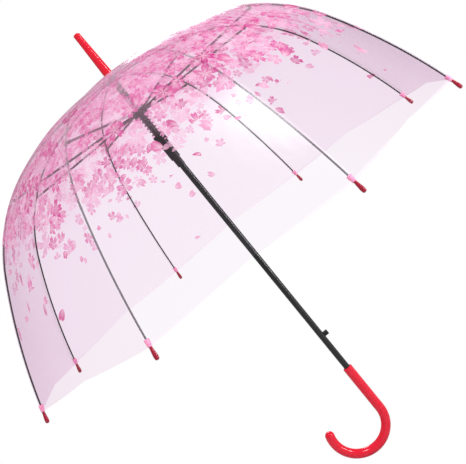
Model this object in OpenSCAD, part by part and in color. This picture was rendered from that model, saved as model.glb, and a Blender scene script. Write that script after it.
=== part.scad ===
// Clear bubble umbrella: crook handle, steel shaft, sprung runner, eight jointed ribs and a film dome.
// Millimetres. +Z runs up the shaft to the ferrule, and the origin is the middle of the straight grip.

/* [Handle] */
// Diameter of the handle tube
grip_d = 15.4; // [14:0.2:18]
// Length of the straight part of the handle
grip_l = 83; // [80:1:110]
// Radius of the crook's centreline
crook_r = 46; // [40:1:55]
// How far round the crook turns, in degrees
crook_sweep = 197; // [180:1:210]

/* [Shaft] */
// Outer diameter of the shaft tube
shaft_d = 10; // [10:0.1:10.4]
// Wall of the shaft tube
shaft_wall = 0.7; // [0.6:0.1:1.0]
// Height of the ribs' pivots above the middle of the grip
pivot_z = 618; // [610:1:640]
// Height of the release button's middle
button_z = 105.5; // [100:0.5:112]
// Length of the ferrule
ferrule_l = 79; // [60:1:100]

/* [Canopy] */
// Number of ribs
ribs = 8; // [8]
// Diameter of a rib's round wire
rib_d = 2.5; // [2:0.1:2.8]
// Radius of the flat crown stretch of a rib
crown_arc_r = 740; // [600:10:900]
// Radius of a rib's shoulder
shoulder_arc_r = 256; // [240:1:270]
// Radius of a rib's skirt stretch
skirt_arc_r = 845; // [700:5:1000]
// Thickness of the film as modelled, thicker than the real sheet so that it is a solid
film_t = 0.4; // [0.4:0.1:1]

/* [Mechanism] */
// Height of the stretchers' pivots when the canopy is open
collar_z = 554; // [548:1:560]
// Height of the runner's top when the canopy is open
runner_top_z = 509; // [500:1:512]
// Length of the runner
runner_l = 59; // [55:1:62]

/* [Hidden] */

shaft_r = shaft_d / 2;
tube_inner_r = shaft_r - shaft_wall;
grip_r = grip_d / 2;
grip_top = grip_l / 2;
rib_r = rib_d / 2;
pitch = 360 / ribs;
// A rib stands half a pitch from +X, so that the button side and the crook lie between two ribs.
first_rib = pitch / 2;

// Clearances: a running fit, a gap between bodies, and a hole around the shaft's fixed parts.
running = 0.05;
body_gap = 0.3;
seat = 0.02;

// A rib's outline is three arcs, each given by the slope below level where it starts.
pivot_rho = 10;
slope_start = 1.5;
slope_shoulder = 12.4;
slope_joint = 36;
slope_skirt = 59.4;
slope_tip = 73.7;

function from_slopes(p, a, b, r) =
    [p[0] + r * (sin(b) - sin(a)), p[1] - r * (cos(a) - cos(b))];
p_pivot = [pivot_rho, pivot_z];
p_shoulder = from_slopes(p_pivot, slope_start, slope_shoulder, crown_arc_r);
p_joint = from_slopes(p_shoulder, slope_shoulder, slope_joint, shoulder_arc_r);
p_skirt = from_slopes(p_joint, slope_joint, slope_skirt, shoulder_arc_r);
p_tip = from_slopes(p_skirt, slope_skirt, slope_tip, skirt_arc_r);

// The bracket that a stretcher meets stands under the upper rib, a little inside the rib's joint.
slope_bracket = 34;
bracket_drop = 4;
p_bracket = from_slopes(p_shoulder, slope_shoulder, slope_bracket, shoulder_arc_r);
p_meet = p_bracket - bracket_drop * [sin(slope_bracket), cos(slope_bracket)];

// Eyes, pins and lap joints.
eye_r = 2.2;
eye_t = 2.3;
pin_r = 0.7;
lap_r = 1.7;
lap_pin_r = 0.5;
lap_gap = 0.15;
lap_cut = lap_r + body_gap + 0.1;
// The cap's bore is straight and the rib is bent, so it is a little wider than the rib.
tip_bore_r = rib_r + 0.25;
crimp_l = 6;
crimp_wall = 0.2;
wire_gap = 0.2;

// A stretcher lies beside its rib, so that it can pass it as the canopy folds.
stretcher_w = 2.5;
stretcher_side = 3.2;
stretcher_h = 3;
collar_rho = 9.5;
collar_r = 12;
collar_h = 12;
notch_r = 12.5;
notch_bottom = pivot_z - 6;
notch_top = pivot_z + 4;
cap_r = 17;
cap_h = 4;
ferrule_base = notch_top + cap_h;

// The film lies on the ribs and stops short of their tips.
film_rest = lap_r + body_gap;
film_hole_rho = 14.2;
film_short = 15.5;
film_steps = 6;
seam = 0.2;

button_w = 6.2;
button_h = 7;
button_out = 12;
button_in = 1;

round_fn = 64;
wire_fn = 20;

module at_rib(k) {
    rotate([0, 0, first_rib + pitch * (k - 1)]) children();
}

// Turns a solid of revolution's axis from Z to Y and puts it at a point of the rib's plane.
module across(p, side = 0) {
    translate([p[0], side, p[1]]) rotate([90, 0, 0]) children();
}

// A round wire along an arc of the rib's plane, from slope a to slope b, starting at p.
// first and last are how far short of the arc's two ends it stays, in millimetres.
module wire_arc(p, a, b, r, first = 0, last = 0) {
    from = a + first / r * 180 / PI;
    to = b - last / r * 180 / PI;
    translate([p[0] - r * sin(a), 0, p[1] - r * cos(a)])
        rotate([90, 0, 0])
            rotate([0, 0, 90 - to])
                rotate_extrude(angle = to - from, $fn = 360)
                    translate([r, 0]) circle(r = rib_r, $fn = wire_fn);
}

// The crimped sleeve that joins two stretches of a rib's wire.
module crimp(p, slope) {
    translate([p[0], 0, p[1]]) rotate([0, 90 + slope, 0])
        cylinder(r = rib_r + crimp_wall, h = crimp_l, center = true, $fn = wire_fn);
}

module grip() {
    color("#D8143A") {
        difference() {
            union() {
                translate([0, 0, -grip_top]) cylinder(r = grip_r, h = grip_l - 1, $fn = round_fn);
                translate([0, 0, grip_top - 1]) cylinder(r1 = grip_r, r2 = grip_r - 1, h = 1, $fn = round_fn);
                translate([-crook_r, 0, -grip_top])
                    rotate([-90, 0, 0])
                        rotate_extrude(angle = crook_sweep, $fn = 96)
                            translate([crook_r, 0]) circle(r = grip_r, $fn = round_fn);
                translate([-crook_r + crook_r * cos(crook_sweep), 0, -grip_top - crook_r * sin(crook_sweep)])
                    sphere(r = grip_r, $fn = round_fn);
            }
            translate([0, 0, -30]) cylinder(r = shaft_r + seat, h = grip_l, $fn = round_fn);
        }
    }
}

module shaft() {
    color("#16161A") {
        difference() {
            translate([0, 0, -30]) cylinder(r = shaft_r, h = ferrule_base + 44, $fn = round_fn);
            translate([0, 0, -31]) cylinder(r = tube_inner_r, h = ferrule_base + 46, $fn = round_fn);
            translate([0, -button_w / 2 - body_gap, button_z - button_h / 2 - body_gap])
                cube([shaft_d, button_w + 2 * body_gap, button_h + 2 * body_gap]);
        }
    }
}

// The ferrule tapers to a short straight end that a protector cap pushes onto.
module ferrule() {
    straight = 10;
    end_r = 5.5;
    color("#D8143A") {
        difference() {
            union() {
                translate([0, 0, ferrule_base])
                    cylinder(r1 = 7.4, r2 = end_r, h = ferrule_l - straight - 1.5, $fn = round_fn);
                translate([0, 0, ferrule_base + ferrule_l - straight - 1.5])
                    cylinder(r = end_r, h = straight, $fn = round_fn);
                translate([0, 0, ferrule_base + ferrule_l - 1.5])
                    cylinder(r1 = end_r, r2 = end_r - 1.5, h = 1.5, $fn = round_fn);
            }
            translate([0, 0, ferrule_base - 1]) cylinder(r = shaft_r + seat, h = 16, $fn = round_fn);
        }
    }
}

module crown_cap() {
    color("#E88AB4") {
        difference() {
            translate([0, 0, notch_top]) cylinder(r1 = cap_r, r2 = 9, h = cap_h, $fn = round_fn);
            translate([0, 0, notch_top - 1]) cylinder(r = shaft_r + seat, h = cap_h + 2, $fn = round_fn);
        }
    }
}

// The fixed hub at the top: a slot and a cross pin for each rib, open below and at the side.
module top_notch() {
    slot_w = eye_t + 2 * body_gap;
    color("#1B1B1F") {
        difference() {
            translate([0, 0, notch_bottom]) cylinder(r = notch_r, h = notch_top - notch_bottom, $fn = round_fn);
            translate([0, 0, notch_bottom - 1]) cylinder(r = shaft_r + seat, h = 12, $fn = round_fn);
            for (k = [1:ribs]) at_rib(k)
                translate([pivot_rho - eye_r - body_gap, -slot_w / 2, notch_bottom - 1])
                    cube([notch_r, slot_w, pivot_z - notch_bottom + 1 + eye_r + body_gap]);
        }
        for (k = [1:ribs]) at_rib(k)
            across(p_pivot) cylinder(r = pin_r, h = slot_w + 1.2, center = true, $fn = wire_fn);
    }
}

// A leaf inside the tube that pushes the release button out.
module latch_spring() {
    foot_z = button_z - 46;
    color("#9A9AA0") {
        translate([0, 0, foot_z]) cylinder(r = tube_inner_r - seat, h = 6, $fn = round_fn);
        translate([-3.3, -1.6, foot_z + 5]) cube([0.6, 3.2, 44]);
    }
}

module release_button() {
    color("#101012")
        translate([button_in, -button_w / 2, button_z - button_h / 2])
            cube([button_out - button_in, button_w, button_h]);
}

// The long runner: a grooved crown, a sleeve and a neck, with a slot that lets it slide over the button.
module runner() {
    crown_l = 13;
    neck_l = 14;
    bottom = runner_top_z - runner_l;
    color("#121214") {
        difference() {
            union() {
                translate([0, 0, bottom]) cylinder(r = 6.8, h = neck_l, $fn = round_fn);
                translate([0, 0, bottom + neck_l])
                    cylinder(r = 8.3, h = runner_l - neck_l - crown_l, $fn = round_fn);
                translate([0, 0, runner_top_z - crown_l]) cylinder(r = 9.4, h = crown_l, $fn = round_fn);
            }
            translate([0, 0, bottom - 1]) cylinder(r = shaft_r + running, h = runner_l + 2, $fn = round_fn);
            translate([0, -button_w / 2 - 0.8, bottom - 1])
                cube([shaft_d, button_w + 1.6, runner_l - crown_l + 1]);
            for (a = [0:30:330]) rotate([0, 0, a])
                translate([9.4, 0, runner_top_z - crown_l + 3]) cylinder(r = 0.8, h = crown_l, $fn = wire_fn);
        }
    }
}

// The sliding hub that carries the stretchers: slots open above and at the side.
module stretcher_collar() {
    slot_w = stretcher_w + 2 * body_gap;
    color("#1B1B1F") {
        difference() {
            translate([0, 0, collar_z - collar_h / 2]) cylinder(r = collar_r, h = collar_h, $fn = round_fn);
            translate([0, 0, collar_z - collar_h]) cylinder(r = shaft_r + running, h = 2 * collar_h, $fn = round_fn);
            for (k = [1:ribs]) at_rib(k)
                translate([collar_rho - eye_r - body_gap, stretcher_side - slot_w / 2, collar_z - eye_r - body_gap])
                    cube([collar_r, slot_w, collar_h]);
        }
        for (k = [1:ribs]) at_rib(k)
            across([collar_rho, collar_z], stretcher_side)
                cylinder(r = pin_r, h = slot_w + 1, center = true, $fn = wire_fn);
    }
}

// A point of the coil's wire: ring i, side j.
coil_turns = 6;
coil_rings = 16 * coil_turns;
coil_sides = 8;
coil_wire_r = 0.7;
coil_r = 7;
coil_low = runner_top_z + body_gap + coil_wire_r;
coil_high = collar_z - collar_h / 2 - body_gap - coil_wire_r;
function coil_point(i, j) =
    let (turn = 360 * coil_turns * i / coil_rings,
         side = 360 * j / coil_sides,
         rho = coil_r + coil_wire_r * cos(side))
    [rho * cos(turn), rho * sin(turn),
     coil_low + (coil_high - coil_low) * i / coil_rings + coil_wire_r * sin(side)];

module opening_spring() {
    points = [for (i = [0:coil_rings]) for (j = [0:coil_sides - 1]) coil_point(i, j)];
    sides = [for (i = [0:coil_rings - 1]) for (j = [0:coil_sides - 1])
        let (n = (j + 1) % coil_sides)
        [i * coil_sides + j, (i + 1) * coil_sides + j, (i + 1) * coil_sides + n, i * coil_sides + n]];
    ends = [[for (j = [0:coil_sides - 1]) j],
            [for (j = [coil_sides - 1:-1:0]) coil_rings * coil_sides + j]];
    color("#3A3A40") polyhedron(points = points, faces = concat(sides, ends), convexity = 10);
}

// Half of a lap joint at the rib's joint: side is 1 or -1, and toward turns its tab along the rib.
module lap_half(side, toward) {
    lap_t = rib_r - lap_gap;
    middle = side * (rib_r + lap_gap) / 2;
    across(p_joint, middle) cylinder(r = lap_r, h = lap_t, center = true, $fn = wire_fn);
    translate([p_joint[0], middle, p_joint[1]])
        rotate([0, slope_joint, 0])
            translate([toward * 2.3, 0, 0]) cube([4.6, lap_t, 2 * rib_r * 0.8], center = true);
}

module rib_upper(k) {
    at_rib(k) color("#141416") {
        difference() {
            union() {
                wire_arc(p_pivot, slope_start, slope_shoulder, crown_arc_r, eye_r - 0.5, wire_gap);
                wire_arc(p_shoulder, slope_shoulder, slope_joint, shoulder_arc_r, wire_gap, lap_cut);
                crimp(p_shoulder, slope_shoulder);
                lap_half(-1, -1);
                across(p_pivot) cylinder(r = eye_r, h = eye_t, center = true, $fn = wire_fn);
                bracket();
            }
            across(p_pivot) cylinder(r = pin_r + running, h = 6, center = true, $fn = wire_fn);
            across(p_joint, -1) cylinder(r = lap_pin_r + running, h = 4, center = true, $fn = wire_fn);
        }
    }
}

// The plate and stub under a rib where its stretcher meets it.
module bracket() {
    plate_t = 1.2;
    stub_end = stretcher_side - stretcher_w / 2 - 0.4;
    across(p_meet) cylinder(r = 1.9, h = plate_t, center = true, $fn = wire_fn);
    translate([(p_bracket[0] + p_meet[0]) / 2, 0, (p_bracket[1] + p_meet[1]) / 2])
        rotate([0, slope_bracket, 0]) cube([3, plate_t, bracket_drop], center = true);
    across(p_meet, stub_end / 2) cylinder(r = pin_r, h = stub_end, center = true, $fn = wire_fn);
}

module rib_lower(k) {
    at_rib(k) color("#141416") {
        wire_arc(p_joint, slope_joint, slope_skirt, shoulder_arc_r, lap_cut, wire_gap);
        wire_arc(p_skirt, slope_skirt, slope_tip, skirt_arc_r, wire_gap, 0);
        crimp(p_skirt, slope_skirt);
        lap_half(1, 1);
        across(p_joint, -rib_r / 2 + lap_gap) cylinder(r = lap_pin_r, h = rib_r + 0.6, center = true, $fn = wire_fn);
    }
}

// A moulded tip over the rib's end, a long drop with a rounded nose.
module rib_tip(k) {
    cap_l = 18;
    nose = 2;
    at_rib(k) color("#A01238")
        translate([p_tip[0], 0, p_tip[1]])
            rotate([0, 90 + slope_tip, 0])
                rotate_extrude($fn = 32)
                    polygon([[tip_bore_r, -cap_l + nose], [1.9, -cap_l + nose], [2.6, -cap_l / 2],
                             [3.1, -4], [2.9, 0], [2.1, 1.3], [0, nose], [0, 0], [tip_bore_r, 0]]);
}

module stretcher(k) {
    run = p_meet - [collar_rho, collar_z];
    length = norm(run);
    rise = atan2(run[1], run[0]);
    at_rib(k) color("#17171A")
        translate([collar_rho, stretcher_side, collar_z])
            rotate([0, -rise, 0]) difference() {
                union() {
                    rotate([90, 0, 0]) cylinder(r = eye_r, h = stretcher_w, center = true, $fn = wire_fn);
                    translate([length, 0, 0]) rotate([90, 0, 0])
                        cylinder(r = eye_r, h = stretcher_w, center = true, $fn = wire_fn);
                    translate([length / 2, 0, 0]) cube([length, stretcher_w, stretcher_h], center = true);
                }
                rotate([90, 0, 0]) cylinder(r = pin_r + running, h = 6, center = true, $fn = wire_fn);
                translate([length, 0, 0]) rotate([90, 0, 0])
                    cylinder(r = pin_r + 0.2, h = 6, center = true, $fn = wire_fn);
            }
}

// The film over one rib, from half a pitch before it to half a pitch after it, flat between ribs.
// rows holds points of the rib's outline with their slopes as [rho, z, slope].
function lifted(row, h) = [row[0] + h * sin(row[2]), row[1] + h * cos(row[2])];
function film_row(row, h) =
    let (p = lifted(row, h), half = p[0] * sin(pitch / 2), share = 1 - seam / half)
    [for (s = [-1, 0, 1])
        s == 0 ? [p[0], 0, p[1]]
               : [p[0] - half * sin(pitch / 2) * share, s * half * cos(pitch / 2) * share, p[1]]];

module film(rows, tint) {
    n = len(rows);
    points = concat([for (r = rows) for (q = film_row(r, film_rest)) q],
                    [for (r = rows) for (q = film_row(r, film_rest + film_t)) q]);
    top = 3 * n;
    inner = [for (i = [0:n - 2]) for (j = [0:1])
        each [[3 * i + j, 3 * i + j + 3, 3 * i + j + 4], [3 * i + j, 3 * i + j + 4, 3 * i + j + 1]]];
    outer = [for (f = inner) [f[2] + top, f[1] + top, f[0] + top]];
    left = [for (i = [0:n - 2])
        each [[3 * i, top + 3 * i, 3 * i + 3], [3 * i + 3, top + 3 * i, top + 3 * i + 3]]];
    right = [for (i = [0:n - 2])
        each [[3 * i + 2, 3 * i + 5, top + 3 * i + 2], [3 * i + 5, top + 3 * i + 5, top + 3 * i + 2]]];
    inside = [for (j = [0:1]) each [[j, j + 1, top + j], [j + 1, top + j + 1, top + j]]];
    e = 3 * n - 3;
    outside = [for (j = [0:1])
        each [[e + j, top + e + j, e + j + 1], [e + j + 1, top + e + j, top + e + j + 1]]];
    color(tint) polyhedron(points = points, faces = concat(inner, outer, left, right, inside, outside));
}

function row_on(p, a, s, r) = concat(from_slopes(p, a, s, r), [s]);
film_start_slope = asin(sin(slope_start) + (film_hole_rho - pivot_rho) / crown_arc_r);
joint_gap_slope = 0.05;
crown_rows = concat(
    [for (i = [0:film_steps])
        row_on(p_pivot, slope_start,
               film_start_slope + (slope_shoulder - film_start_slope) * i / film_steps, crown_arc_r)],
    [for (i = [1:film_steps])
        row_on(p_shoulder, slope_shoulder,
               slope_shoulder + (slope_joint - joint_gap_slope - slope_shoulder) * i / film_steps,
               shoulder_arc_r)]);
rim_slope = slope_tip - film_short / skirt_arc_r * 180 / PI;
skirt_rows = concat(
    [for (i = [0:film_steps])
        row_on(p_joint, slope_joint,
               slope_joint + joint_gap_slope + (slope_skirt - slope_joint - joint_gap_slope) * i / film_steps,
               shoulder_arc_r)],
    [for (i = [1:film_steps])
        row_on(p_skirt, slope_skirt, slope_skirt + (rim_slope - slope_skirt) * i / film_steps, skirt_arc_r)]);

module film_crown(k) {
    at_rib(k) film(crown_rows, "#F4C6DE");
}

module film_skirt(k) {
    at_rib(k) film(skirt_rows, "#F3E6F4");
}

grip();
shaft();
ferrule();
crown_cap();
top_notch();
latch_spring();
release_button();
runner();
stretcher_collar();
opening_spring();
for (k = [1:ribs]) {
    rib_upper(k);
    rib_lower(k);
    rib_tip(k);
    stretcher(k);
    film_crown(k);
    film_skirt(k);
}
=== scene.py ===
"""Clear bubble umbrella: printed film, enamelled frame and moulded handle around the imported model."""

import logging
import math
from dataclasses import dataclass
from enum import Enum

import bmesh
import bpy
from mathutils import Matrix, Vector


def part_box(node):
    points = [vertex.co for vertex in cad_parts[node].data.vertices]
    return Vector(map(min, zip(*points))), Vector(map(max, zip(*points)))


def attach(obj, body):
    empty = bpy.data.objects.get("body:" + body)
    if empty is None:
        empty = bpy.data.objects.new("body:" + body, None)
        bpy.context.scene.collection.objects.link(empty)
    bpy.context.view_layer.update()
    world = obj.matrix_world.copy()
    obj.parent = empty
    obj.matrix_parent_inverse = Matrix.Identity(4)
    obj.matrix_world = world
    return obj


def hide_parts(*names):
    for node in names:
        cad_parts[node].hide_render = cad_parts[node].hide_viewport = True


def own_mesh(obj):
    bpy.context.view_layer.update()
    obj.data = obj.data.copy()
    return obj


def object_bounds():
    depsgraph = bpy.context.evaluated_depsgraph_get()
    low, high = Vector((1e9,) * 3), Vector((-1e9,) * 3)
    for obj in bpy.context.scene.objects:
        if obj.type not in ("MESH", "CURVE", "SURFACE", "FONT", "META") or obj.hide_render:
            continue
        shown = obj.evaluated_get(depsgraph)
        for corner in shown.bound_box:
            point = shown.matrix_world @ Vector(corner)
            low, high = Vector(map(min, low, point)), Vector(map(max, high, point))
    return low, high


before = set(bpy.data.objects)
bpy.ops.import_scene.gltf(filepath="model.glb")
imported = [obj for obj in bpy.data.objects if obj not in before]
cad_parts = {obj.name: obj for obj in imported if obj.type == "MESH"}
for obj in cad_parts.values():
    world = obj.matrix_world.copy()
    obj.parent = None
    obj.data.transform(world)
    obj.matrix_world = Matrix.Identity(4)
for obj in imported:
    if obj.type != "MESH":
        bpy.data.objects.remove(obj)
CAD_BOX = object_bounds()
LOG = logging.getLogger("umbrella")
MM = 0.001
RIBS = 8


class Side(Enum):
    """Which half of a rib's film a piece is, seen from above: before or after the rib."""

    BEFORE = -1
    AFTER = 1


class Stretch(Enum):
    """Which stretch of the dome a film piece covers."""

    CROWN = "crown"
    SKIRT = "skirt"


def linear(hex_colour: str, alpha: float = 1.0) -> tuple[float, float, float, float]:
    """Turns an sRGB hex colour into linear RGBA.

    Args:
        hex_colour: Six hex digits after a hash.
        alpha: The fourth value.

    Returns:
        The linear colour.
    """
    values = [int(hex_colour[i : i + 2], 16) / 255 for i in (1, 3, 5)]
    rgb = [v / 12.92 if v <= 0.04045 else ((v + 0.055) / 1.055) ** 2.4 for v in values]
    return (*rgb, alpha)


def add_node(tree: bpy.types.NodeTree, kind: str, links: dict | None = None,
             **settings) -> bpy.types.Node:
    """Adds one node to a tree, with its settings, socket values and incoming links.

    Args:
        tree: The material's or world's node tree.
        kind: The node's type without its prefix ShaderNode.
        links: Input name or number to an output socket to link or a value to set.
        settings: Attributes of the node itself.

    Returns:
        The new node.
    """
    node = tree.nodes.new("ShaderNode" + kind)
    for name, value in settings.items():
        setattr(node, name, value)
    for name, value in (links or {}).items():
        socket = node.inputs[name]
        if isinstance(value, bpy.types.NodeSocket):
            tree.links.new(value, socket)
        else:
            socket.default_value = value
    return node


def new_tree(name: str) -> tuple[bpy.types.Material, bpy.types.NodeTree, bpy.types.Node]:
    """Makes an empty node material.

    Args:
        name: The material's name.

    Returns:
        The material, its tree and its output node.
    """
    material = bpy.data.materials.new(name)
    material.use_nodes = True
    tree = material.node_tree
    tree.nodes.clear()
    return material, tree, add_node(tree, "OutputMaterial")


@dataclass(frozen=True)
class SolidFinish:
    """A solid surface whose colour and roughness vary a little over the real surface.

    Args:
        name: The material's name.
        colour: Its main colour.
        shade: The colour that the variation mixes in.
        roughness: The lowest and highest roughness.
        grain_mm: Size of the variation.
        bump_mm: Height of the fine texture.
        metallic: 1 for bare metal.
        coat: Weight of the clear gloss on top.
        glow: Subsurface weight, for translucent mouldings.
    """

    name: str
    colour: str
    shade: str
    roughness: tuple[float, float]
    grain_mm: float
    bump_mm: float = 0.02
    metallic: float = 0.0
    coat: float = 0.0
    glow: float = 0.0

    def make(self) -> bpy.types.Material:
        """Builds the material.

        Returns:
            The material.
        """
        material, tree, out = new_tree(self.name)
        place = add_node(tree, "TexCoord").outputs["Object"]
        grain = add_node(
            tree, "TexNoise", {"Vector": place, "Scale": 1 / (self.grain_mm * MM), "Detail": 4.0}
        ).outputs["Fac"]
        cloud = add_node(
            tree, "TexNoise", {"Vector": place, "Scale": 0.12 / (self.grain_mm * MM), "Detail": 2.0}
        ).outputs["Fac"]
        colour = add_node(
            tree,
            "Mix",
            {0: cloud, 6: linear(self.colour), 7: linear(self.shade)},
            data_type="RGBA",
        ).outputs[2]
        rough = add_node(
            tree,
            "MapRange",
            {"Value": grain, "From Min": 0.3, "From Max": 0.7,
             "To Min": self.roughness[0], "To Max": self.roughness[1]},
        ).outputs[0]
        bump = add_node(
            tree, "Bump", {"Height": grain, "Distance": self.bump_mm * MM, "Strength": 0.6}
        ).outputs[0]
        shader = add_node(
            tree,
            "BsdfPrincipled",
            {"Base Color": colour, "Roughness": rough, "Normal": bump,
             "Metallic": self.metallic, "Coat Weight": self.coat, "Coat Roughness": 0.04,
             "Subsurface Weight": self.glow, "Subsurface Scale": 0.004},
        )
        tree.links.new(shader.outputs[0], out.inputs[0])
        return material


# Injection-moulded ABS in crimson: a wet gloss with only a faint moulding ripple.
CRIMSON_ABS = SolidFinish("crimson_abs", "#DC0029", "#C90022", (0.12, 0.2), 1.2, 0.01, coat=0.25)
# The same ABS in the darker crimson of the rib tips.
TIP_ABS = SolidFinish("tip_abs", "#A3002C", "#8A0024", (0.16, 0.28), 0.8, 0.015, coat=0.2)
# Soft PVC moulding in milky pink: light goes a little way into it.
PINK_PVC = SolidFinish("pink_pvc", "#F3A3C6", "#EE8FB9", (0.25, 0.4), 0.9, 0.02, glow=0.35)
# Nylon mouldings in black: fine spark-eroded texture and a dull sheen.
BLACK_NYLON = SolidFinish("black_nylon", "#0B0B0E", "#060608", (0.32, 0.5), 0.35, 0.03)
# Stove enamel on steel tube and wire: deep black gloss, slightly wavy.
BLACK_ENAMEL = SolidFinish("black_enamel", "#050507", "#09090B", (0.14, 0.24), 1.5, 0.01, coat=0.2)
# Bare spring wire: drawn steel with a dark oil film.
SPRING_WIRE = SolidFinish("spring_wire", "#7C7C84", "#55555C", (0.25, 0.42), 0.5, 0.01, metallic=1.0)


@dataclass(frozen=True)
class BlossomLayer:
    """One layer of printed motifs, one to a cell of a jittered grid.

    Args:
        cell_mm: Size of a cell.
        size: Radius of a motif as a share of the cell.
        full_m: Distance from the crown down to which nearly every cell is filled.
        empty_m: Distance from the crown where no cell is filled.
        most: Share of cells filled at the crown.
        pale: Lightest ink of the layer.
        deep: Darkest ink of the layer.
        shift: Moves the layer so that it doesn't line up with another.
        petals: Petals to a motif, five for a blossom or one for a loose petal.
        ink: How solid the ink of the deepest motifs is.
        jitter: How far motifs stray from the grid.
        smallest: Size of the smallest motif as a share of size.
        spread: How much more the largest has.
        tone_ink: How much less solid the palest motifs are.
    """

    cell_mm: float
    size: float
    full_m: float
    empty_m: float
    most: float
    pale: str
    deep: str
    shift: float
    petals: int = 5
    ink: float = 0.9
    jitter: float = 0.72
    smallest: float = 0.72
    spread: float = 0.45
    tone_ink: float = 0.3

    def blossom(self, tree: bpy.types.NodeTree,
                turn: bpy.types.NodeSocket) -> tuple[bpy.types.NodeSocket, bpy.types.NodeSocket]:
        """Adds the outline of five petals with gaps between them and a notch in each.

        Args:
            tree: The film material's tree.
            turn: Angle about the motif's middle, in radians.

        Returns:
            How near the angle is to a petal's middle, and the outline's distance from the motif's middle.
        """
        gap, roundness, notch_from, notch_depth = 0.2, 0.42, 0.95, 0.24
        fifth = add_node(tree, "Math", {0: turn, 1: self.petals / 2}, operation="MULTIPLY").outputs[0]
        wave = add_node(tree, "Math", {0: fifth}, operation="COSINE").outputs[0]
        lobe = add_node(tree, "Math", {0: wave}, operation="ABSOLUTE").outputs[0]
        wide = add_node(tree, "MapRange", {"Value": lobe, "From Min": gap, "From Max": 1.0,
                                           "To Min": 0.0, "To Max": 1.0}).outputs[0]
        edge = add_node(tree, "Math", {0: wide, 1: roundness}, operation="POWER").outputs[0]
        notch = add_node(tree, "MapRange", {"Value": lobe, "From Min": notch_from, "From Max": 1.0,
                                            "To Min": 0.0, "To Max": notch_depth}).outputs[0]
        edge = add_node(tree, "Math", {0: edge, 1: notch}, operation="SUBTRACT").outputs[0]
        return lobe, edge

    def loose_petal(self, tree: bpy.types.NodeTree,
                    turn: bpy.types.NodeSocket) -> tuple[bpy.types.NodeSocket, bpy.types.NodeSocket]:
        """Adds the outline of one fallen petal, pointed at its foot and notched at its end.

        Args:
            tree: The film material's tree.
            turn: Angle about the petal's foot, in radians.

        Returns:
            How near the angle is to the petal's middle, and the outline's distance from its foot.
        """
        slimness, length, notch_from, notch_depth = 3.0, 1.25, 0.988, 0.3
        wave = add_node(tree, "Math", {0: turn}, operation="COSINE").outputs[0]
        lobe = add_node(tree, "Math", {0: wave, 1: 0.0}, operation="MAXIMUM").outputs[0]
        slim = add_node(tree, "Math", {0: lobe, 1: slimness}, operation="POWER").outputs[0]
        edge = add_node(tree, "Math", {0: slim, 1: length}, operation="MULTIPLY").outputs[0]
        notch = add_node(tree, "MapRange", {"Value": lobe, "From Min": notch_from, "From Max": 1.0,
                                            "To Min": 0.0, "To Max": notch_depth}).outputs[0]
        edge = add_node(tree, "Math", {0: edge, 1: notch}, operation="SUBTRACT").outputs[0]
        return lobe, edge

    def add(self, tree: bpy.types.NodeTree, place: bpy.types.NodeSocket,
            run: bpy.types.NodeSocket) -> tuple[bpy.types.NodeSocket, bpy.types.NodeSocket]:
        """Adds the layer's nodes.

        Args:
            tree: The film material's tree.
            place: The print's own coordinates, in metres.
            run: Distance from the crown along the film, in metres.

        Returns:
            The layer's cover and its colour.
        """
        scale = 1 / (self.cell_mm * MM)
        moved = add_node(tree, "Mapping", {"Vector": place, "Location": (self.shift, self.shift, 0),
                                           "Scale": (scale,) * 3}).outputs[0]
        cell = add_node(tree, "TexVoronoi", {"Vector": moved, "Scale": 1.0, "Randomness": self.jitter},
                        voronoi_dimensions="2D")
        away = add_node(tree, "VectorMath", {0: moved, 1: cell.outputs["Position"]},
                        operation="SUBTRACT").outputs[0]
        pick = add_node(tree, "SeparateXYZ", {0: cell.outputs["Color"]}).outputs
        part = add_node(tree, "SeparateXYZ", {0: away}).outputs
        heading = add_node(tree, "Math", {0: part[1], 1: part[0]}, operation="ARCTAN2").outputs[0]
        own = add_node(tree, "Math", {0: pick[0], 1: 2 * math.pi}, operation="MULTIPLY").outputs[0]
        turn = add_node(tree, "Math", {0: heading, 1: own}, operation="ADD").outputs[0]
        far = add_node(tree, "VectorMath", {0: away}, operation="LENGTH").outputs["Value"]
        lobe, edge = self.blossom(tree, turn) if self.petals == 5 else self.loose_petal(tree, turn)
        extra = add_node(tree, "Math", {0: pick[1], 1: self.spread * self.size},
                         operation="MULTIPLY").outputs[0]
        grown = add_node(tree, "Math", {0: extra, 1: self.smallest * self.size},
                         operation="ADD").outputs[0]
        radius = add_node(tree, "Math", {0: edge, 1: grown}, operation="MULTIPLY").outputs[0]
        above_zero = add_node(tree, "Math", {0: radius, 1: 0.001}, operation="MAXIMUM").outputs[0]
        share = add_node(tree, "Math", {0: far, 1: above_zero}, operation="DIVIDE").outputs[0]
        shape = add_node(tree, "MapRange", {"Value": share, "From Min": 0.94, "From Max": 1.03,
                                            "To Min": 1.0, "To Max": 0.0}).outputs[0]
        wanted = add_node(tree, "MapRange", {"Value": run, "From Min": self.full_m,
                                             "From Max": self.empty_m, "To Min": self.most,
                                             "To Max": 0.0}).outputs[0]
        there = add_node(tree, "Math", {0: pick[2], 1: wanted}, operation="LESS_THAN").outputs[0]
        tone = add_node(tree, "Math", {0: pick[1], 1: 1.1}, operation="POWER").outputs[0]
        ink = add_node(tree, "Mix", {0: tone, 6: linear(self.pale), 7: linear(self.deep)},
                       data_type="RGBA").outputs[2]
        heart = add_node(tree, "MapRange", {"Value": share, "From Min": 0.05, "From Max": 0.75,
                                            "To Min": 0.75, "To Max": 0.0}).outputs[0]
        centred = add_node(tree, "Math", {0: lobe, 1: 2.0}, operation="POWER").outputs[0]
        vein = add_node(tree, "Math", {0: heart, 1: centred}, operation="MULTIPLY").outputs[0]
        colour = add_node(tree, "Mix", {0: vein, 6: ink, 7: linear("#FFF1F7")},
                          data_type="RGBA").outputs[2]
        deeper = add_node(tree, "Math", {0: tone, 1: self.tone_ink}, operation="MULTIPLY").outputs[0]
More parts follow.
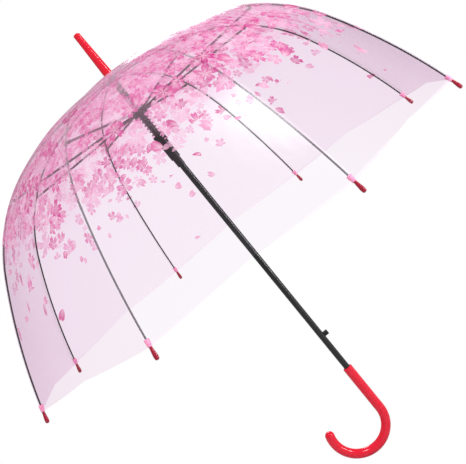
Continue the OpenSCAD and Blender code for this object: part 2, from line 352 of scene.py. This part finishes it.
        solid = add_node(tree, "Math", {0: deeper, 1: self.ink - self.tone_ink},
                         operation="ADD").outputs[0]
        shown = add_node(tree, "Math", {0: shape, 1: there}, operation="MULTIPLY").outputs[0]
        cover = add_node(tree, "Math", {0: shown, 1: solid}, operation="MULTIPLY").outputs[0]
        return cover, colour


# Blossoms of about 15 to 45 mm, from broad pale ones under small deep ones to loose petals.
# A motif that is larger than its cell is cut off at the cell's edge.
PRINT = (
    BlossomLayer(44, 0.62, 0.14, 0.36, 1.00, "#FAD2E8", "#F5B0D6", 3.1, ink=0.72),
    BlossomLayer(33, 0.60, 0.16, 0.40, 1.00, "#F8BBDD", "#EE86C0", 7.7, ink=0.82),
    BlossomLayer(25, 0.58, 0.13, 0.42, 0.95, "#F29ACB", "#D62E92", 1.4, ink=0.95),
    BlossomLayer(19, 0.55, 0.10, 0.38, 0.85, "#F9BFDD", "#E2509F", 5.2, ink=0.92),
    BlossomLayer(31, 0.56, 0.12, 0.36, 0.70, "#EE7FBD", "#CE1F86", 4.4, ink=0.95),
    BlossomLayer(38, 0.50, 0.22, 0.50, 0.50, "#EE85BD", "#D52F8C", 9.3, petals=1, ink=0.95),
    BlossomLayer(26, 0.46, 0.18, 0.45, 0.45, "#F5A0CC", "#DE4A9B", 2.6, petals=1, ink=0.92),
)


@dataclass(frozen=True)
class PrintedFilm:
    """Clear PVC film, blown and welded: glassy, faintly lavender, with a blossom print on it.

    Args:
        name: The material's name.
        tint: What colour the film passes.
        edge: What colour it takes on where it is seen edge on.
        rim_m: Distance from the crown to the rim, where the hem is.
        hem_m: Width of the hem.
        weld_m: Half width of the weld along a rib.
        seam_milk: How milky the hem and the welds are.
        straight_gloss: Share of light that it reflects when seen straight on.
        edge_gloss: How much more it reflects when seen edge on.
        crown_wash: How solid the pale ink between the blossoms is at the crown.
    """

    name: str
    tint: str
    edge: str
    rim_m: float
    hem_m: float = 0.0035
    weld_m: float = 0.0035
    seam_milk: float = 0.16
    straight_gloss: float = 0.04
    edge_gloss: float = 0.5
    crown_wash: float = 0.78

    def make(self) -> bpy.types.Material:
        """Builds the material.

        Returns:
            The material.
        """
        material, tree, out = new_tree(self.name)
        place = add_node(tree, "UVMap", uv_map="print").outputs[0]
        run = add_node(tree, "VectorMath", {0: place}, operation="LENGTH").outputs["Value"]
        cover, colour = None, None
        for layer in PRINT:
            more, shade = layer.add(tree, place, run)
            if cover is None:
                cover, colour = more, shade
                continue
            colour = add_node(tree, "Mix", {0: more, 6: colour, 7: shade}, data_type="RGBA").outputs[2]
            cover = add_node(tree, "Math", {0: cover, 1: more}, operation="MAXIMUM").outputs[0]
        wash = add_node(tree, "MapRange", {"Value": run, "From Min": 0.12, "From Max": 0.36,
                                           "To Min": self.crown_wash, "To Max": 0.0}).outputs[0]
        cover = add_node(tree, "Math", {0: cover, 1: wash}, operation="MAXIMUM").outputs[0]
        from_rib = add_node(tree, "Attribute", attribute_name="from_rib").outputs["Fac"]
        weld = add_node(tree, "Math", {0: from_rib, 1: self.weld_m}, operation="LESS_THAN").outputs[0]
        hem = add_node(tree, "Math", {0: run, 1: self.rim_m - self.hem_m},
                       operation="GREATER_THAN").outputs[0]
        seam = add_node(tree, "Math", {0: weld, 1: hem}, operation="MAXIMUM").outputs[0]
        thick = add_node(tree, "Math", {0: seam, 1: self.seam_milk}, operation="MULTIPLY").outputs[0]
        ripple = add_node(tree, "TexNoise", {"Vector": add_node(tree, "TexCoord").outputs["Object"],
                                             "Scale": 1 / 0.045, "Detail": 3.0,
                                             "Distortion": 0.8}).outputs["Fac"]
        bump = add_node(tree, "Bump", {"Height": ripple, "Distance": 0.0022, "Strength": 0.35}).outputs[0]
        facing = add_node(tree, "LayerWeight", {"Blend": 0.22}).outputs["Facing"]
        passed = add_node(tree, "Mix", {0: facing, 6: linear(self.tint), 7: linear(self.edge)},
                          data_type="RGBA").outputs[2]
        clear = add_node(tree, "BsdfTransparent", {"Color": passed}).outputs[0]
        gloss = add_node(tree, "BsdfGlossy", {"Color": (1, 1, 1, 1), "Roughness": 0.2,
                                              "Normal": bump}).outputs[0]
        milk = add_node(tree, "BsdfDiffuse", {"Color": linear("#F6E9F6"), "Normal": bump}).outputs[0]
        slant = add_node(tree, "LayerWeight", {"Blend": 0.5}).outputs["Facing"]
        steep = add_node(tree, "Math", {0: slant, 1: 5.0}, operation="POWER").outputs[0]
        shine = add_node(tree, "Math", {0: steep, 1: self.edge_gloss, 2: self.straight_gloss},
                         operation="MULTIPLY_ADD").outputs[0]
        sheet = add_node(tree, "MixShader", {0: thick, 1: clear, 2: milk}).outputs[0]
        sheet = add_node(tree, "MixShader", {0: shine, 1: sheet, 2: gloss}).outputs[0]
        front = add_node(tree, "BsdfDiffuse", {"Color": colour, "Normal": bump}).outputs[0]
        through = add_node(tree, "BsdfTranslucent", {"Color": colour, "Normal": bump}).outputs[0]
        ink = add_node(tree, "MixShader", {0: 0.5, 1: front, 2: through}).outputs[0]
        ink = add_node(tree, "MixShader", {0: shine, 1: ink, 2: gloss}).outputs[0]
        whole = add_node(tree, "MixShader", {0: cover, 1: sheet, 2: ink}).outputs[0]
        tree.links.new(whole, out.inputs[0])
        return material


@dataclass
class RibCurve:
    """A rib's outline in its own upright plane: three arcs that grow steeper towards the tip.

    Args:
        start: Distance from the shaft and height of the rib's pivot, in metres.
        slopes: Slope below level, in degrees, where each arc starts, and at the tip.
        radii: Radius of each arc, in metres.
        joint_slope: Slope below level, in degrees, where the rib's joint is.
    """

    start: tuple[float, float]
    slopes: tuple[float, ...] = (1.5, 12.4, 59.4, 73.7)
    radii: tuple[float, ...] = (0.740, 0.256, 0.845)
    joint_slope: float = 36.0

    def lengths(self) -> list[float]:
        """Gives each arc's length."""
        turns = zip(self.slopes, self.slopes[1:], self.radii)
        return [math.radians(b - a) * r for a, b, r in turns]

    def joint_run(self) -> float:
        """Gives the distance along the rib from its pivot to its joint."""
        return self.lengths()[0] + math.radians(self.joint_slope - self.slopes[1]) * self.radii[1]

    def at(self, run: float) -> tuple[float, float, float]:
        """Gives the point a distance along the rib.

        Args:
            run: Distance from the pivot, in metres.

        Returns:
            Distance from the shaft, height, and slope in radians.
        """
        rho, height = self.start
        for first, radius, length in zip(self.slopes, self.radii, self.lengths()):
            a = math.radians(first)
            step = min(run, length)
            b = a + step / radius
            rho += radius * (math.sin(b) - math.sin(a))
            height -= radius * (math.cos(a) - math.cos(b))
            run -= step
            if run <= 1e-9:
                break
        return rho, height, b


def rib_turn(index: int) -> float:
    """Gives the angle of rib 1 to 8 about the shaft, in radians."""
    return math.radians(22.5 + 45 * (index - 1))


def finish_mesh(mesh: bmesh.types.BMesh, name: str, material: bpy.types.Material,
                body: str) -> bpy.types.Object:
    """Makes an object of a bmesh, at the origin, dressed and riding on a body.

    Args:
        mesh: The finished bmesh, which is freed.
        name: The piece's name.
        material: Its material.
        body: The CAD body that it moves with.

    Returns:
        The new object.
    """
    for face in mesh.faces:
        face.smooth = True
    data = bpy.data.meshes.new(name)
    mesh.to_mesh(data)
    mesh.free()
    data.materials.append(material)
    piece = bpy.data.objects.new(name, data)
    bpy.context.scene.collection.objects.link(piece)
    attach(piece, body)
    LOG.info("made %s on %s", name, body)
    return piece


@dataclass
class Canopy:
    """The film dome: half a gore on each side of each rib, in a crown and a skirt stretch.

    Args:
        curve: The ribs' outline.
        lift: How far the film lies above a rib's middle line.
        hole: Distance from the shaft where the film starts, under the crown cap.
        short: How far the rim stops short of the ribs' ends.
        hollow: How far the rim curves up between two ribs.
        swell: How far the film stands out from flat at the middle of a gore.
        keep: Share of its width that a half gore keeps when it is gathered along its rib. Not used.
        crown_bow: How far the rib's crown stretch stands out from its chord. Not used.
        skirt_bow: The same for the skirt stretch. Not used.
        across: Grid cells from the rib to the middle of a gore.
        along: Grid cells along the rib.
    """

    curve: RibCurve
    lift: float = 0.0022
    hole: float = 0.0142
    short: float = 0.0155
    hollow: float = 0.005
    swell: float = 0.007
    keep: float = 0.07
    crown_bow: float = 0.018
    skirt_bow: float = 0.024
    across: int = 14
    along: int = 30

    def rim_run(self) -> float:
        """Gives the distance along a rib from its pivot to the film's rim."""
        return sum(self.curve.lengths()) - self.short

    def point(self, run: float, share: float, side: Side) -> tuple[Vector, Vector]:
        """Gives a point of the film in a rib's own frame, with the rib in the XZ plane.

        Args:
            run: Distance along the rib.
            share: 0 on the rib and 1 at the middle of the gore.
            side: Which side of the rib.

        Returns:
            The point, and the print's coordinates there.
        """
        half = math.pi / RIBS
        run -= self.hollow * share**2 * max(0.0, run / self.rim_run()) ** 6
        rho, height, slope = self.curve.at(run)
        rho, height = rho + self.lift * math.sin(slope), height + self.lift * math.cos(slope)
        width = rho * math.sin(half) * share
        proud = self.swell * math.sin(math.pi * share / 2) * min(1.0, rho / 0.25)
        spot = Vector((rho - width * math.sin(half), side.value * width * math.cos(half), height))
        spot += proud * Vector((math.sin(slope) * math.cos(half) ** 2,
                                side.value * math.sin(slope) * math.sin(half) * math.cos(half),
                                math.cos(slope)))
        turn = math.atan2(spot.y, spot.x)
        reach = self.curve.start[0] + run
        return spot, Vector((reach * math.cos(turn), reach * math.sin(turn), width))

    def build(self, index: int, side: Side, stretch: Stretch,
              material: bpy.types.Material) -> bpy.types.Object:
        """Builds one film piece from a grid.

        Args:
            index: The rib, 1 to 8.
            side: Which side of the rib.
            stretch: The crown or the skirt.
            material: The printed film.

        Returns:
            The piece, riding on its rib.
        """
        joint = self.curve.joint_run()
        start = self.hole - self.curve.start[0]
        low, high = (start, joint) if stretch is Stretch.CROWN else (joint, self.rim_run())
        mesh = bmesh.new()
        bmesh.ops.create_grid(mesh, x_segments=self.across, y_segments=self.along, size=0.5)
        mesh.verts.index_update()
        prints = mesh.loops.layers.uv.new("print")
        near = mesh.verts.layers.float.new("from_rib")
        turn = Matrix.Rotation(rib_turn(index), 3, "Z")
        flat = Matrix.Rotation(rib_turn(index), 2)
        spots = {}
        for vertex in mesh.verts:
            share, along = vertex.co.x + 0.5, vertex.co.y + 0.5
            spot, mark = self.point(low + (high - low) * along, share, side)
            vertex[near] = mark.z
            spots[vertex.index] = flat @ mark.xy
            vertex.co = turn @ spot
        for face in mesh.faces:
            for loop in face.loops:
                loop[prints].uv = spots[loop.vert.index]
        if side is Side.AFTER:
            bmesh.ops.reverse_faces(mesh, faces=mesh.faces)
        segment = "upper" if stretch is Stretch.CROWN else "lower"
        half = "a" if side is Side.BEFORE else "b"
        piece = finish_mesh(mesh, f"film_{stretch.value}_{index}{half}", material,
                            f"rib_{segment}_{index}")
        wide, long, area = self.cut(low, high)
        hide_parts(f"film_{stretch.value}_{index}")
        self.gather(piece, stretch)
        return piece

    def cut(self, low: float, high: float) -> tuple[float, float, float]:
        """Works out the flat cut of half a gore from the ribs' outline, without the mesh.

        Args:
            low: Distance along the rib where it starts.
            high: Distance along the rib where it ends.

        Returns:
            Its greatest width, its length and its area.
        """
        steps = 200
        step = (high - low) / steps
        ends = [self.curve.at(low + step * i) for i in range(steps + 1)]
        widths = [(rho + self.lift * math.sin(slope)) * math.sin(math.pi / RIBS) for rho, _, slope in ends]
        long = high - low + self.lift * (ends[-1][2] - ends[0][2])
        return max(widths), long, sum(widths) / len(widths) * long

    def gather(self, piece: bpy.types.Object, stretch: Stretch) -> None:
        """Gives a film piece a mesh of its own; the piece does not draw in along its rib as the umbrella
        closes.

        Args:
            piece: The film piece, with its final mesh.
            stretch: The crown or the skirt.
        """
        joint = self.curve.joint_run()
        crown = stretch is Stretch.CROWN
        ends = [self.curve.at(run) for run in ((0.0, joint) if crown else (joint, self.rim_run()))]
        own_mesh(piece)


def dress(names: list[str], material: bpy.types.Material) -> None:
    """Gives CAD nodes a material.

    Args:
        names: The nodes.
        material: What they are made of.
    """
    for name in names:
        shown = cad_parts[name]
        shown.data.materials.clear()
        shown.data.materials.append(material)
        LOG.info("dressed %s in %s", name, material.name)


def rib_nodes(kind: str) -> list[str]:
    """Gives the eight names of a repeated node."""
    return [f"{kind}_{k}" for k in range(1, RIBS + 1)]


@dataclass
class OpeningSpring:
    """The coil between the runner and the collar, wound by one helical spin.

    Args:
        wire: Radius of the wire.
        coil: Radius of the coil.
        turns: Number of turns.
        keep: Share of its length that it keeps when the umbrella is closed. Not used.
    """

    wire: float = 0.0007
    coil: float = 0.007
    turns: int = 6
    keep: float = 0.29

    def build(self, material: bpy.types.Material) -> bpy.types.Object:
        """Winds the coil in the space of its CAD node.

        Args:
            material: Spring wire.

        Returns:
            The coil, riding on the runner.
        """
        low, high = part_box("opening_spring")
        mesh = bmesh.new()
        ring = bmesh.ops.create_circle(mesh, segments=12, radius=self.wire, cap_ends=True)
        bmesh.ops.rotate(mesh, verts=ring["verts"], matrix=Matrix.Rotation(math.pi / 2, 3, "X"))
        bmesh.ops.translate(mesh, verts=ring["verts"], vec=(self.coil, 0, low[2] + self.wire))
        steps = 32 * self.turns
        rise = (high[2] - low[2] - 2 * self.wire) / steps
        bmesh.ops.spin(mesh, geom=mesh.verts[:] + mesh.edges[:] + mesh.faces[:], cent=(0, 0, 0),
                       axis=(0, 0, 1), dvec=(0, 0, rise), angle=2 * math.pi * self.turns,
                       steps=steps, use_duplicate=False)
        bmesh.ops.recalc_face_normals(mesh, faces=mesh.faces)
        piece = finish_mesh(mesh, "opening_coil", material, "runner")
        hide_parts("opening_spring")
        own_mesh(piece)
        return piece


@dataclass
class RimTabs:
    """The soft pink tab that holds the film's corner on each rib.

    Args:
        radius: Radius of the tab's sleeve.
        length: Its length along the rib.
    """

    radius: float = 0.0036
    length: float = 0.010

    def build(self, index: int, canopy: Canopy, material: bpy.types.Material) -> bpy.types.Object:
        """Builds one tab at the film's rim.

        Args:
            index: The rib, 1 to 8.
            canopy: The film, which gives the rim's place.
            material: Soft pink moulding.

        Returns:
            The tab, riding on the rib's lower stretch.
        """
        rho, height, slope = canopy.curve.at(canopy.rim_run() - self.length / 2)
        mesh = bmesh.new()
        bmesh.ops.create_cone(mesh, cap_ends=True, segments=20, radius1=self.radius,
                              radius2=self.radius * 0.8, depth=self.length)
        rims = [e for e in mesh.edges if abs(e.verts[0].co.z - e.verts[1].co.z) < 1e-6]
        bmesh.ops.bevel(mesh, geom=rims, offset=0.0006, segments=2, profile=0.5, affect="EDGES",
                        material=-1)
        aim = Matrix.Rotation(rib_turn(index), 4, "Z") @ Matrix.Translation((rho, 0, height))
        aim = aim @ Matrix.Rotation(math.pi / 2 + slope, 4, "Y")
        bmesh.ops.transform(mesh, matrix=aim, verts=mesh.verts)
        piece = finish_mesh(mesh, f"rim_tab_{index}", material, f"rib_lower_{index}")
        return piece


@dataclass
class Studio:
    """Camera, floor and soft light.

    Args:
        distance: How far the camera stands from what it looks at.
        down: How far it looks down, in degrees.
        round: How far it stands round from the front, in degrees.
        lean: Angle of the shaft below level as the camera sees it, in degrees.
        lens: Focal length on a 36 mm sensor, in millimetres.
        room: Brightness of the room's light.
        mirrored: Brightness of the room as gloss reflects it.
        centre: The point that it looks at.
    """

    distance: float = 1.388
    down: float = 4.1
    round: float = 1.79
    lean: float = 50.8
    lens: float = 69.14
    room: float = 1.05
    mirrored: float = 0.35
    centre: tuple[float, float, float] = (-0.0047, 0.0, 0.3201)

    def camera(self) -> None:
        """Sets the camera."""
        tilt, lean = math.radians(self.down), math.radians(self.lean)
        turn = Matrix.Rotation(math.radians(self.round), 3, "Z")
        ahead = turn @ Vector((0, math.cos(tilt), -math.sin(tilt)))
        up = turn @ Vector((0, math.sin(tilt), math.cos(tilt)))
        right = turn @ Vector((1, 0, 0))
        across = right * math.sin(lean) - up * math.cos(lean)
        rise = right * math.cos(lean) + up * math.sin(lean)
        place = turn @ Vector(self.centre) - ahead * self.distance
        data = bpy.data.cameras.new("camera")
        data.lens, data.sensor_width = self.lens, 36.0
        camera = bpy.data.objects.new("camera", data)
        basis = Matrix((across, rise, -ahead)).transposed().to_4x4()
        camera.matrix_world = Matrix.Translation(place) @ basis
        bpy.context.scene.collection.objects.link(camera)
        bpy.context.scene.camera = camera

    def floor(self) -> None:
        """Lays a plain pale floor under the handle."""
        mesh = bmesh.new()
        bmesh.ops.create_grid(mesh, x_segments=1, y_segments=1, size=6.0)
        bmesh.ops.translate(mesh, verts=mesh.verts, vec=(0, 0, CAD_BOX[0][2] - 0.004))
        data = bpy.data.meshes.new("floor")
        mesh.to_mesh(data)
        mesh.free()
        floor = bpy.data.objects.new("floor", data)
        # Pale seamless paper: matt, without a pattern, and burnt out to white where it is seen.
        paper = SolidFinish("studio_paper", "#BDBCBE", "#B8B7BA", (0.8, 0.9), 4.0, 0.0).make()
        tree = paper.node_tree
        seen = add_node(tree, "LightPath").outputs["Is Camera Ray"]
        white = add_node(tree, "Emission", {"Color": (1, 1, 1, 1), "Strength": 1.0}).outputs[0]
        out = next(n for n in tree.nodes if n.type == "OUTPUT_MATERIAL")
        matt = out.inputs[0].links[0].from_socket
        whole = add_node(tree, "MixShader", {0: seen, 1: matt, 2: white}).outputs[0]
        tree.links.new(whole, out.inputs[0])
        data.materials.append(paper)
        bpy.context.scene.collection.objects.link(floor)

    def lamp(self, name: str, place: tuple[float, float, float], size: tuple[float, float],
             power: float) -> None:
        """Adds a soft lamp that looks at the middle of the object.

        Args:
            name: The lamp's name.
            place: Where it stands.
            size: Its width and height.
            power: Its power in watts.
        """
        data = bpy.data.lights.new(name, "AREA")
        data.shape = "RECTANGLE"
        data.energy, data.size, data.size_y = power, size[0], size[1]
        lamp = bpy.data.objects.new(name, data)
        lamp.location = place
        aim = Vector(self.centre) - Vector(place)
        lamp.rotation_euler = aim.to_track_quat("-Z", "Y").to_euler()
        bpy.context.scene.collection.objects.link(lamp)

    def build(self) -> None:
        """Sets up the whole studio."""
        world = bpy.data.worlds.new("studio")
        world.use_nodes = True
        tree = world.node_tree
        tree.nodes.clear()
        path = add_node(tree, "LightPath").outputs
        dim = add_node(tree, "MapRange", {"Value": path["Is Glossy Ray"], "To Min": self.room,
                                          "To Max": self.mirrored}).outputs[0]
        power = add_node(tree, "MapRange", {"Value": path["Is Camera Ray"], "To Min": dim,
                                            "To Max": 1.0}).outputs[0]
        sky = add_node(tree, "Background", {"Color": (1, 1, 1, 1), "Strength": power}).outputs[0]
        tree.links.new(sky, add_node(tree, "OutputWorld").inputs[0])
        scene = bpy.context.scene
        scene.world = world
        scene.view_settings.view_transform = "Standard"
        self.floor()
        self.lamp("key", (0.9, -1.6, 2.2), (0.8, 0.8), 22)
        self.lamp("strip", (2.1, -0.9, 0.3), (0.22, 1.8), 34)
        self.lamp("back", (0.4, 1.9, 1.4), (0.6, 0.6), 12)
        self.camera()


def main() -> None:
    """Builds the studio, dresses the frame and makes the film, coil and tabs."""
    logging.basicConfig(level=logging.INFO, format="%(message)s")
    Studio().build()
    crimson, tip, pink = CRIMSON_ABS.make(), TIP_ABS.make(), PINK_PVC.make()
    nylon, enamel, wire = BLACK_NYLON.make(), BLACK_ENAMEL.make(), SPRING_WIRE.make()
    dress(["grip", "ferrule"], crimson)
    dress(["crown_cap"], pink)
    dress(rib_nodes("rib_tip"), tip)
    dress(["top_notch", "runner", "stretcher_collar", "release_button"], nylon)
    dress(["shaft", *rib_nodes("rib_upper"), *rib_nodes("rib_lower"), *rib_nodes("stretcher")], enamel)
    dress(["latch_spring"], wire)
    OpeningSpring().build(wire)
    canopy = Canopy(RibCurve(start=(0.010, 0.618)))
    rim = canopy.curve.start[0] + canopy.rim_run()
    film = PrintedFilm("printed_film", "#FEF9FE", "#EBCBE2", rim).make()
    tabs = RimTabs()
    for index in range(1, RIBS + 1):
        tabs.build(index, canopy, pink)
        for side in Side:
            for stretch in Stretch:
                canopy.build(index, side, stretch, film)


if __name__ == "__main__":
    main()
